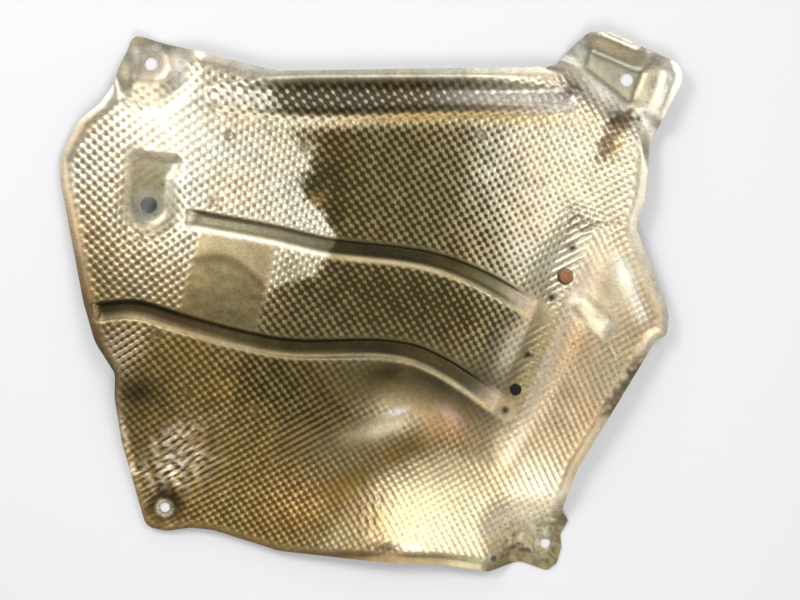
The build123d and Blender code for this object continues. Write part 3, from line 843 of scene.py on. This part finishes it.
def fine_grain(metal, scale, detail):
    """Noise on the piece's own coordinates."""
    place = add_node(metal, "ShaderNodeTexCoord", {})["Object"]
    return add_node(metal, "ShaderNodeTexNoise", {"Vector": place, "Scale": scale, "Detail": detail})["Fac"]


def dress(metal, metallic, colour, dull, grain, darkest, brightest, bumps):
    """Joins colour and roughness to the shader, with the grain as mottling and as bumps 0.2 mm high."""
    tone = ranged(metal, grain, 0.3, 0.7, darkest, brightest)
    mottled = add_node(metal, "ShaderNodeVectorMath", {0: colour, "Scale": tone}, operation="SCALE")
    bumped = add_node(metal, "ShaderNodeBump", {"Strength": bumps, "Distance": 0.0002, "Height": grain})
    shader = metal.node_tree.nodes["Principled BSDF"]
    shader.inputs["Metallic"].default_value = metallic
    metal.node_tree.links.new(mottled["Vector"], shader.inputs["Base Color"])
    metal.node_tree.links.new(dull, shader.inputs["Roughness"])
    metal.node_tree.links.new(bumped["Normal"], shader.inputs["Normal"])


# The sheet's metal goes from grime and painted shade in the pits to the stains on top, broken up by a fine
# grain. The pattern's height is the weighted mean of the cosines of its two rows, and that darker pit colour
# fills it to a level.
sheet_metal = bpy.data.materials.new("stained_aluminium")
sheet_metal.use_nodes = True
sheet_grain = fine_grain(sheet_metal, 900, 3)
rows = add_node(sheet_metal, "ShaderNodeSeparateXYZ", {"Vector": carried(sheet_metal, "rows")["Vector"]})
shares = add_node(sheet_metal, "ShaderNodeSeparateXYZ", {"Vector": carried(sheet_metal, "shares")["Vector"]})
wave_a = worked(sheet_metal, "COSINE", worked(sheet_metal, "MULTIPLY", rows["X"], 2 * np.pi))
wave_b = worked(sheet_metal, "COSINE", worked(sheet_metal, "MULTIPLY", rows["Y"], 2 * np.pi))
between = worked(sheet_metal, "SUBTRACT", wave_a, wave_b)
wave = worked(sheet_metal, "MULTIPLY_ADD", shares["Y"], between, wave_b)
fill_depth = worked(sheet_metal, "SUBTRACT", rows["Z"], wave)
fill_depth = worked(sheet_metal, "MULTIPLY_ADD", sheet_grain, 1.2, fill_depth)
fill_depth = worked(sheet_metal, "SUBTRACT", fill_depth, 0.6)
filled = ranged(sheet_metal, fill_depth, -0.6, 0.6, curve="SMOOTHSTEP")
pit_fill = worked(sheet_metal, "MULTIPLY", filled, shares["X"])
tops, pits = carried(sheet_metal, "tint")["Color"], carried(sheet_metal, "grime_and_shade")["Color"]
stain = add_node(sheet_metal, "ShaderNodeMix", {0: pit_fill, 6: tops, 7: pits}, data_type="RGBA")[2]
sheet_dull = worked(sheet_metal, "MULTIPLY_ADD", sheet_grain, 0.14, shares["Z"])
sheet_dull = worked(sheet_metal, "MULTIPLY_ADD", pit_fill, 0.15, sheet_dull)
dress(sheet_metal, 0.95, stain, sheet_dull, sheet_grain, 0.78, 1.14, 0.25)

smooth_front = np.stack([x, y, height], axis=1)
square = skin_normals(smooth_front, quads)
front_points = smooth_front + np.stack([np.zeros(x.size), np.zeros(x.size), relief], axis=1)
back_points = smooth_front - gauge * square
back_points[:, 2] = np.maximum(back_points[:, 2] + relief, 0)

count = len(front_points)
cut_front = np.concatenate([front_points, front_points[on_rim], back_points[on_rim]])
slot_of = np.full(count, -1)
slot_of[on_rim] = np.arange(len(on_rim))
top, low = count + slot_of[rim], count + len(on_rim) + slot_of[rim]
walls = np.stack([top[:, 1], top[:, 0], low[:, 0], low[:, 1]], axis=1)
bare_edge = np.tile((0.42, 0.39, 0.32), (2 * len(on_rim), 1))
edge_rows = np.zeros((3, 2 * len(on_rim)))
edge_shares = np.tile([[0.0], [0.5], [0.45]], 2 * len(on_rim))
shield_front = sheet_piece(
    "shield_front", cut_front, np.concatenate([quads, walls]),
    np.concatenate([stains_and_painted_light, np.stack([bare_edge, bare_edge])], axis=1),
    np.concatenate([np.stack([pit_u, pit_v, pit_fill_level]), edge_rows], axis=1),
    np.concatenate([np.stack([embossed, share_a, roughness]), edge_shares], axis=1), sheet_metal,
)
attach(shield_front, "root")
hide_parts("shield_panel")

# Back skin: the hollow face that turns away from the heat. The same pattern shows through reversed, and the
# metal is duller and evenly greyed, with painted shade in its hollows.
back_tint = np.tile((0.5, 0.485, 0.445), (count, 1))
back_tint *= (1 + 0.3 * relief + 0.08 * mottle(26, 61) + 0.05 * mottle(7, 62))[:, None]
shield_back = sheet_piece(
    "shield_back", back_points, quads[:, ::-1], (back_tint, back_tint), np.zeros((3, count)),
    np.tile([[0.0], [0.5], [0.42]], count), sheet_metal,
)
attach(shield_back, "root")
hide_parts("shield_panel")

# Rivet: a steel rivet with a domed button in its head, set through the strip and rusted all over.
# Its head slopes down round the button to its rim, and its tail is drawn up behind the sheet.
rivet_along, rivet_across, rivet_steps = -44.6, 1.5, 48
shank, head, head_height, button, button_height, tail, tail_height = 4.8, 10.3, 1.1, 6.5, 1.7, 7.2, 3.4
head_top, button_top = gauge + head_height, gauge + button_height
rivet_profile = np.array([
    (0.0, button_top), (1.4, button_top - 0.03), (2.4, button_top - 0.16), (2.9, button_top - 0.42),
    (button / 2, head_top), (3.6, head_top - 0.08), (4.3, head_top - 0.2), (4.9, head_top - 0.5),
    (head / 2, gauge + 0.25), (head / 2, gauge), (shank / 2, gauge), (shank / 2, 0.0),
    (tail / 2 - 0.3, 0.0), (tail / 2, -0.3), (tail / 2, -tail_height * 0.6), (3.1, -tail_height * 0.8),
    (tail / 4, -tail_height), (0.0, -tail_height),
])
around = np.linspace(0, 2 * np.pi, rivet_steps, endpoint=False)
ring_r, ring_z = rivet_profile[1:-1].T
wobble = 1 + 0.012 * np.sin(3 * around + 0.7) + 0.008 * np.sin(7 * around)
local = np.stack([
    ring_r[:, None] * np.cos(around) * wobble, ring_r[:, None] * np.sin(around) * wobble,
    np.repeat(ring_z[:, None], rivet_steps, axis=1),
], axis=-1).reshape(-1, 3)
local = np.concatenate([local, [[0, 0, rivet_profile[0, 1]], [0, 0, rivet_profile[-1, 1]]]])
rivet_axes = np.stack([strip_along, strip_aside, strip_normal])
rivet_points = (local + np.array([rivet_along, rivet_across, 0])) @ rivet_axes + strip_middle
rings = np.arange(len(ring_r) * rivet_steps).reshape(-1, rivet_steps)
beside = np.roll(rings, -1, axis=1)
bands = np.stack([rings[:-1], rings[1:], beside[1:], beside[:-1]], axis=-1).reshape(-1, 4)
tip, end = len(local) - 2, len(local) - 1
caps = np.concatenate([
    np.column_stack([np.full(rivet_steps, tip), rings[0], beside[0]]),
    np.column_stack([np.full(rivet_steps, end), beside[-1], rings[-1]]),
])
rivet_mesh = bpy.data.meshes.new("rusty_rivet")
rivet_mesh.from_pydata((rivet_points / 1000).tolist(), [], bands.tolist() + caps.tolist())
rivet_mesh.polygons.foreach_set("use_smooth", np.ones(len(rivet_mesh.polygons), bool))
rivet_mesh.update()
from_axis = np.append(np.repeat(ring_r, rivet_steps), [0.0, 0.0])
# The head's ring is rust with painted shade darkening one side, and the button is rust.
shaded_side = np.append(np.tile(0.5 - 0.5 * np.cos(around - 2.6), len(ring_r)), [0.5, 0.5])[:, None]
ring_rust_and_shade = np.array([0.3, 0.21, 0.095]) + np.array([-0.24, -0.17, -0.08]) * shaded_side
disc_rust = np.array([0.37, 0.15, 0.055]) * (1 - 0.3 * bell(from_axis - 2.0, 0.5))[:, None]
rivet_rust_and_shade = ring_rust_and_shade + (disc_rust - ring_rust_and_shade) * blend(3.4 - from_axis, 0.12)[:, None]
rivet_rust_and_shade = np.column_stack([rivet_rust_and_shade, np.ones(len(local))]).astype(np.float32)
rivet_mesh.attributes.new("rust", "FLOAT_COLOR", "POINT").data.foreach_set("color", rivet_rust_and_shade.ravel())

rusted = bpy.data.materials.new("rusted_steel")
rusted.use_nodes = True
rust_grain = fine_grain(rusted, 1100, 5)
rust_dull = ranged(rusted, rust_grain, 0.0, 1.0, 0.45, 0.85)
dress(rusted, 0.35, carried(rusted, "rust")["Color"], rust_dull, rust_grain, 0.6, 1.2, 0.5)
rivet_mesh.materials.append(rusted)
set_rivet = bpy.data.objects.new("rusty_rivet", rivet_mesh)
bpy.context.collection.objects.link(set_rivet)
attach(set_rivet, "root")
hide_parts("rivet")

# Floor: a plain pale sheet that the shield lies on, a hair below its seats.
floor_mesh = bpy.data.meshes.new("floor")
floor_half, floor_level = 3, -0.0002
floor_sides = ((-1, -1), (1, -1), (1, 1), (-1, 1))
floor_corners = [(east * floor_half, north * floor_half, floor_level) for east, north in floor_sides]
floor_mesh.from_pydata(floor_corners, [], [(0, 1, 2, 3)])
floor_paint = bpy.data.materials.new("pale_floor")
floor_paint.use_nodes = True
floor_shader = floor_paint.node_tree.nodes["Principled BSDF"]
floor_shader.inputs["Base Color"].default_value = (0.71, 0.69, 0.64, 1)
floor_shader.inputs["Roughness"].default_value = 0.7
floor_mesh.materials.append(floor_paint)
floor = bpy.data.objects.new("floor", floor_mesh)
bpy.context.collection.objects.link(floor)

# Light: six soft lamps, a touch cool. Three small ones above the sheet give the bumps their glints, three
# wide ones low beyond its edges light its walls, and an even grey room is there for the metal to reflect.
room = bpy.data.worlds.new("studio")
room.use_nodes = True
backdrop = room.node_tree.nodes["Background"]
backdrop.inputs["Color"].default_value = (0.97, 0.98, 1.0, 1)
backdrop.inputs["Strength"].default_value = 0.27
bpy.context.scene.world = room
for light_name, place, size, power in (
    ("key", (-0.64, 0.52, 0.95), 0.45, 6.7),
    ("fill", (0.1, -0.6, 1.05), 0.55, 6.0),
    ("sky", (-0.2, 1.60, 0.6), 1.2, 9.0),
    ("left", (-1.60, 0.2, 0.7), 1.2, 3.5),
    ("side", (0.42, 0.36, 1.00), 0.5, 4.2),
    ("right", (1.50, -0.1, 0.75), 1.2, 3.0),
):
    lamp = bpy.data.lights.new(light_name, "AREA")
    lamp.size = size
    lamp.energy = power
    lamp.color = (0.95, 0.975, 1.08)
    lit = bpy.data.objects.new(light_name, lamp)
    lit.location = place
    toward = -np.array(place) / np.linalg.norm(place)
    pitch, heading = np.arccos(-toward[2]), np.arctan2(toward[1], toward[0]) - np.pi / 2
    lit.rotation_euler = (pitch, 0, heading)
    bpy.context.collection.objects.link(lit)

# Camera: straight above the sheet, as the photograph looks square on to it. The picture is 496 mm wide at a
# distance of 925 mm, which is 20 mm above the seats.
view_distance, view_width = 925, 496
lens = bpy.data.cameras.new("camera")
lens.sensor_width = 36
lens.lens = 36 * view_distance / view_width
camera = bpy.data.objects.new("camera", lens)
camera.location = (0.0186, 0.00155, 0.945)
bpy.context.collection.objects.link(camera)
bpy.context.scene.camera = camera
bpy.context.scene.view_settings.view_transform = "Standard"
